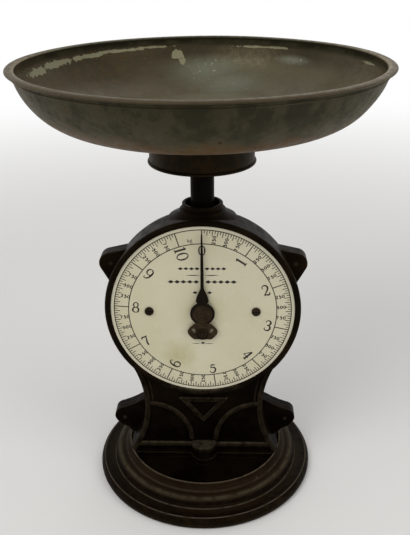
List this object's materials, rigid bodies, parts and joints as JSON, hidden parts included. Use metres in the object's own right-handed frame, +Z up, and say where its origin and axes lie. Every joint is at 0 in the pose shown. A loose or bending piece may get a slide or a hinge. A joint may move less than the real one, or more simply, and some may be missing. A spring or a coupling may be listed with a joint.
{
  "type": "household spring balance",
  "caption": "Round pan on a plunging post over a clock-type dial in a waisted cast casing, standing on a round moulded base.",
  "frame": {"origin": "centre of the base's resting face", "axes": "+Z up, the dial faces -Y, +X to the viewer's right"},
  "size_m": [0.283, 0.283, 0.3615],
  "materials": {
    "japanned_iron": "worn black-brown japan, half gloss",
    "blued_steel": "dark blued, worn",
    "ivory_enamel": "glossy enamel on sheet iron",
    "bright_steel": "bright drawn",
    "yellow_brass": "machined",
    "dark_tin": "old dark tinned sheet, worn in patches",
    "brown_tin": "old tinned sheet, browned"
  },
  "bodies": {
    "stand": {"base": "japanned_iron", "front_casing": "japanned_iron", "rear_casing": "japanned_iron", "casing_screws": "blued_steel", "base_bolts": "blued_steel", "dial_plate": "ivory_enamel", "dial_screws": "blued_steel", "spindle_bridge": "yellow_brass", "bridge_screws": "bright_steel", "upper_eyebolts": "bright_steel", "upper_eyebolt_nuts": "bright_steel", "left_spring": "bright_steel", "right_spring": "bright_steel", "link_pivot_pins": "bright_steel"},
    "load_frame": {"post": "blued_steel", "head_plate": "blued_steel", "crossbar": "blued_steel", "crossbar_nut": "bright_steel", "lower_eyebolts": "bright_steel", "lower_eyebolt_nuts": "bright_steel", "rack": "yellow_brass", "rack_screws": "bright_steel", "post_pins": "bright_steel"},
    "pointer_arbor": {"spindle": "bright_steel", "pinion": "yellow_brass", "pointer": "blued_steel", "pointer_cap": "blued_steel"},
    "upper_steady": {"upper_link": "bright_steel"},
    "lower_steady": {"lower_link": "bright_steel"},
    "pan_assembly": {"pan": "dark_tin", "pan_collar": "brown_tin"}
  },
  "joints": [
    {"name": "press", "type": "slide", "parent": "stand", "child": "load_frame", "axis": [0, 0, -1], "range_m": [0, 0.02394], "stiffness_N_per_m": 4097.7, "springref_m": -0.00364, "deforming": ["left_spring", "right_spring"]},
    {"name": "pointer_turn", "type": "hinge", "parent": "stand", "child": "pointer_arbor", "pos_m": [0, -0.02, 0.1654], "axis": [0, 1, 0], "range_deg": [0, 343]},
    {"name": "upper_link_swing", "type": "hinge", "parent": "stand", "child": "upper_steady", "pos_m": [-0.038, 0.01225, 0.19], "axis": [0, 1, 0], "range_deg": [0, 35.2]},
    {"name": "lower_link_swing", "type": "hinge", "parent": "stand", "child": "lower_steady", "pos_m": [-0.038, 0.01225, 0.112], "axis": [0, 1, 0], "range_deg": [0, 35.2]},
    {"name": "pan_lift", "type": "slide", "parent": "load_frame", "child": "pan_assembly", "axis": [0, 0, 1], "range_m": [0, 0.03]}
  ],
  "couplings": [
    {"joint": "pointer_turn", "follows": "press", "rad_per_m": 250},
    {"joint": "upper_link_swing", "follows": "press", "rad_per_m": 25.49},
    {"joint": "lower_link_swing", "follows": "press", "rad_per_m": 25.49}
  ]
}
